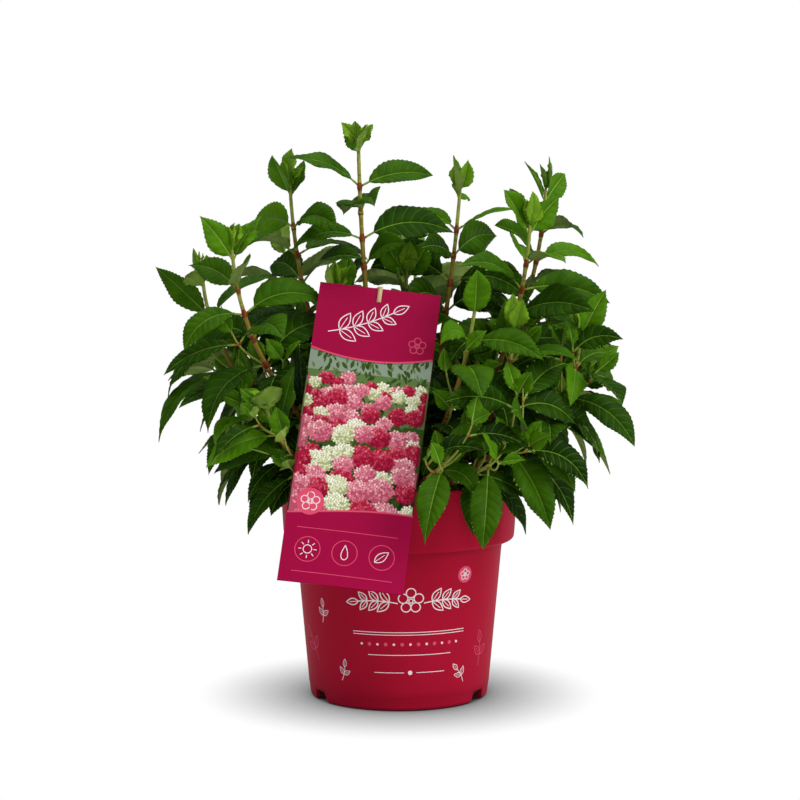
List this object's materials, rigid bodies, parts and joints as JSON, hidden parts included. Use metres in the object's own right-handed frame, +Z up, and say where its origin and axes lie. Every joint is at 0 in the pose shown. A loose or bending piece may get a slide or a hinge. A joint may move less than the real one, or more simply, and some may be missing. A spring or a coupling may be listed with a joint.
{
  "type": "potted panicle hydrangea",
  "caption": "Young flowering shrub in leaf in a round tapered plastic nursery pot with a tall rim band, with a picture card strapped to its tallest stem and leaning out over the rim.",
  "frame": {"origin": "middle of the pot's flat underside", "axes": "+Z up along the pot's axis, -Y towards the side that the picture card hangs on, +X to the right seen from that side"},
  "size_m": [0.3762, 0.3241, 0.458],
  "materials": {
    "pot_plastic": "satin, thermoformed polypropylene, crimson",
    "soil": "loose dark peat and bark crumb",
    "card": "printed plastic card, semi-gloss",
    "strap": "flat tan tie",
    "stem_bark": "young bark, satin, with darker rings at the nodes",
    "leaf": "living leaf, satin above, pale and dull below"
  },
  "bodies": {
    "root": {"cane_behind_card": "stem_bark", "cane_far_left": "stem_bark", "cane_far_right": "stem_bark", "cane_front_left": "stem_bark", "cane_front_middle": "stem_bark", "cane_front_right": "stem_bark", "cane_inner_right": "stem_bark", "cane_low_front": "stem_bark", "cane_low_front_left": "stem_bark", "cane_low_front_middle": "stem_bark", "cane_low_front_right": "stem_bark", "cane_low_left": "stem_bark", "cane_low_rear": "stem_bark", "cane_low_right": "stem_bark", "cane_middle": "stem_bark", "cane_rear_far_left": "stem_bark", "cane_rear_far_right": "stem_bark", "cane_rear_left": "stem_bark", "cane_rear_middle": "stem_bark", "cane_rear_right": "stem_bark", "cane_right_of_middle": "stem_bark", "cane_tallest": "stem_bark", "cane_upper_left": "stem_bark", "cane_upper_right": "stem_bark", "card_strap": "strap", "foliage_behind_card": "leaf", "foliage_far_left": "leaf", "foliage_far_right": "leaf", "foliage_front_left": "leaf", "foliage_front_middle": "leaf", "foliage_front_right": "leaf", "foliage_inner_right": "leaf", "foliage_low_front": "leaf", "foliage_low_front_left": "leaf", "foliage_low_front_middle": "leaf", "foliage_low_front_right": "leaf", "foliage_low_left": "leaf", "foliage_low_rear": "leaf", "foliage_low_right": "leaf", "foliage_middle": "leaf", "foliage_rear_far_left": "leaf", "foliage_rear_far_right": "leaf", "foliage_rear_left": "leaf", "foliage_rear_middle": "leaf", "foliage_rear_right": "leaf", "foliage_right_of_middle": "leaf", "foliage_tallest": "leaf", "foliage_upper_left": "leaf", "foliage_upper_right": "leaf", "picture_card": "card", "pot": "pot_plastic", "potting_soil": "soil"}
  },
  "joints": []
}
